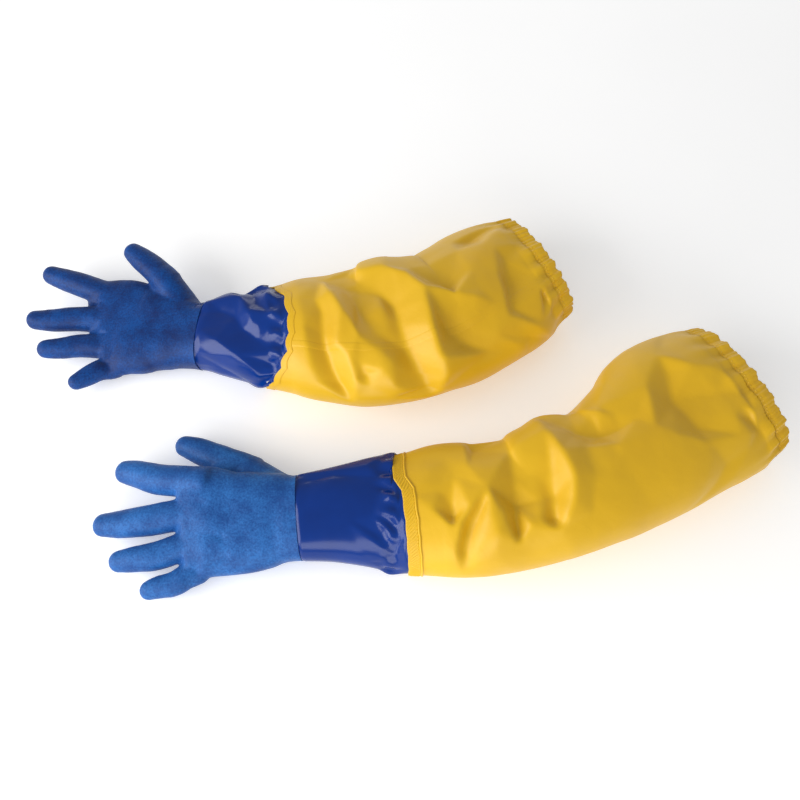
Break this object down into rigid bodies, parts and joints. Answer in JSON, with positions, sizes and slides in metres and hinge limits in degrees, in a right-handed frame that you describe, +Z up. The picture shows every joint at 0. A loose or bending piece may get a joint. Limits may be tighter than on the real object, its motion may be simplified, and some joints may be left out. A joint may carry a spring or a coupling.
{
  "type": "pair of shoulder-length cold-handling gloves",
  "caption": "Pair of coated gloves with lined fingers and palm, a smooth flared gauntlet and a long gathered sleeve that reaches the upper arm, lying flat and bent at the elbow.",
  "frame": {"origin": "on the bench, under the middle of the pair's bounding box", "axes": "+X from the fingertips towards the sleeves' open ends, +Y from the left glove (palm down) towards the right glove (palm up), +Z up from the bench"},
  "size_m": [0.7988, 0.4316, 0.093],
  "materials": {
    "rough_pvc": "matt, rough-grained",
    "smooth_pvc": "gloss",
    "coated_fabric": "satin, wipe-clean coating",
    "knit_lining": "knitted, brushed",
    "elastic": "woven, ribbed",
    "thread": "twisted thread"
  },
  "bodies": {
    "left_forearm": {"left_gauntlet": "smooth_pvc", "left_gauntlet_liner": "knit_lining", "left_cuff_band": "coated_fabric", "left_cuff_bead": "coated_fabric", "left_sleeve_lower": "coated_fabric", "left_sleeve_elbow": "coated_fabric", "left_seam_lower": "coated_fabric"},
    "left_hand": {"left_palm_coat": "rough_pvc", "left_palm_liner": "knit_lining"},
    "left_thumb": {"left_thumb_coat": "rough_pvc", "left_thumb_liner": "knit_lining"},
    "left_index": {"left_index_coat": "rough_pvc", "left_index_liner": "knit_lining"},
    "left_middle": {"left_middle_coat": "rough_pvc", "left_middle_liner": "knit_lining"},
    "left_ring": {"left_ring_coat": "rough_pvc", "left_ring_liner": "knit_lining"},
    "left_little": {"left_little_coat": "rough_pvc", "left_little_liner": "knit_lining"},
    "left_upper_arm": {"left_sleeve_upper": "coated_fabric", "left_seam_upper": "coated_fabric", "left_hem_casing": "coated_fabric", "left_elastic": "elastic", "left_hem_stitch": "thread"},
    "right_forearm": {"right_gauntlet": "smooth_pvc", "right_gauntlet_liner": "knit_lining", "right_cuff_band": "coated_fabric", "right_cuff_bead": "coated_fabric", "right_sleeve_lower": "coated_fabric", "right_sleeve_elbow": "coated_fabric", "right_seam_lower": "coated_fabric"},
    "right_hand": {"right_palm_coat": "rough_pvc", "right_palm_liner": "knit_lining"},
    "right_thumb": {"right_thumb_coat": "rough_pvc", "right_thumb_liner": "knit_lining"},
    "right_index": {"right_index_coat": "rough_pvc", "right_index_liner": "knit_lining"},
    "right_middle": {"right_middle_coat": "rough_pvc", "right_middle_liner": "knit_lining"},
    "right_ring": {"right_ring_coat": "rough_pvc", "right_ring_liner": "knit_lining"},
    "right_little": {"right_little_coat": "rough_pvc", "right_little_liner": "knit_lining"},
    "right_upper_arm": {"right_sleeve_upper": "coated_fabric", "right_seam_upper": "coated_fabric", "right_hem_casing": "coated_fabric", "right_elastic": "elastic", "right_hem_stitch": "thread"}
  },
  "joints": [
    {"name": "right_glove_lift", "type": "slide", "parent": "left_forearm", "child": "right_forearm", "axis": [0, 0, 1], "range_m": [0, 0.3]},
    {"name": "left_wrist", "type": "hinge", "parent": "left_forearm", "child": "left_hand", "pos_m": [-0.08957, -0.14084, 0.026], "axis": [-0.0119, 0.9817, 0.1901], "range_deg": [0, 45], "deforming": ["left_gauntlet", "left_gauntlet_liner"]},
    {"name": "left_elbow", "type": "hinge", "parent": "left_forearm", "child": "left_upper_arm", "pos_m": [0.17143, -0.11433, 0.047], "axis": [0.3376, -0.9413, 0], "range_deg": [0, 75], "deforming": ["left_sleeve_elbow"]},
    {"name": "left_thumb_curl", "type": "hinge", "parent": "left_hand", "child": "left_thumb", "pos_m": [-0.14077, -0.08566, 0.0043], "axis": [-0.5965, -0.79, -0.1419], "range_deg": [0, 45], "stiffness_Nm_per_rad": 0.03},
    {"name": "left_index_curl", "type": "hinge", "parent": "left_hand", "child": "left_index", "pos_m": [-0.19943, -0.10209, 0.01793], "axis": [0.1549, -0.9698, -0.1884], "range_deg": [0, 70], "stiffness_Nm_per_rad": 0.03},
    {"name": "left_middle_curl", "type": "hinge", "parent": "left_hand", "child": "left_middle", "pos_m": [-0.19446, -0.13303, 0.01141], "axis": [0.1549, -0.9698, -0.1884], "range_deg": [0, 70], "stiffness_Nm_per_rad": 0.03},
    {"name": "left_ring_curl", "type": "hinge", "parent": "left_hand", "child": "left_ring", "pos_m": [-0.18984, -0.16232, 0.00674], "axis": [0.1549, -0.9698, -0.1884], "range_deg": [0, 70], "stiffness_Nm_per_rad": 0.03},
    {"name": "left_little_curl", "type": "hinge", "parent": "left_hand", "child": "left_little", "pos_m": [-0.18561, -0.18928, 0.00304], "axis": [0.1549, -0.9698, -0.1884], "range_deg": [0, 70], "stiffness_Nm_per_rad": 0.03},
    {"name": "right_wrist", "type": "hinge", "parent": "right_forearm", "child": "right_hand", "pos_m": [-0.21157, 0.06817, 0.025], "axis": [0.2324, 0.9633, 0.1344], "range_deg": [0, 60], "deforming": ["right_gauntlet", "right_gauntlet_liner"]},
    {"name": "right_elbow", "type": "hinge", "parent": "right_forearm", "child": "right_upper_arm", "pos_m": [0.01643, 0.06267, 0.048], "axis": [0.2376, -0.9714, 0], "range_deg": [0, 75], "deforming": ["right_sleeve_elbow"]},
    {"name": "right_thumb_curl", "type": "hinge", "parent": "right_hand", "child": "right_thumb", "pos_m": [-0.25064, 0.1322, 0.05363], "axis": [0.7997, 0.5949, 0.0811], "range_deg": [0, 45], "stiffness_Nm_per_rad": 0.03},
    {"name": "right_index_curl", "type": "hinge", "parent": "right_hand", "child": "right_index", "pos_m": [-0.3199, 0.12233, 0.03803], "axis": [-0.1465, 0.9796, 0.1375], "range_deg": [0, 70], "stiffness_Nm_per_rad": 0.03},
    {"name": "right_middle_curl", "type": "hinge", "parent": "right_hand", "child": "right_middle", "pos_m": [-0.31508, 0.08993, 0.03399], "axis": [-0.1465, 0.9796, 0.1375], "range_deg": [0, 70], "stiffness_Nm_per_rad": 0.03},
    {"name": "right_ring_curl", "type": "hinge", "parent": "right_hand", "child": "right_ring", "pos_m": [-0.31023, 0.05768, 0.02895], "axis": [-0.1465, 0.9796, 0.1375], "range_deg": [0, 70], "stiffness_Nm_per_rad": 0.03},
    {"name": "right_little_curl", "type": "hinge", "parent": "right_hand", "child": "right_little", "pos_m": [-0.30638, 0.03242, 0.02389], "axis": [-0.1465, 0.9796, 0.1375], "range_deg": [0, 70], "stiffness_Nm_per_rad": 0.03}
  ]
}
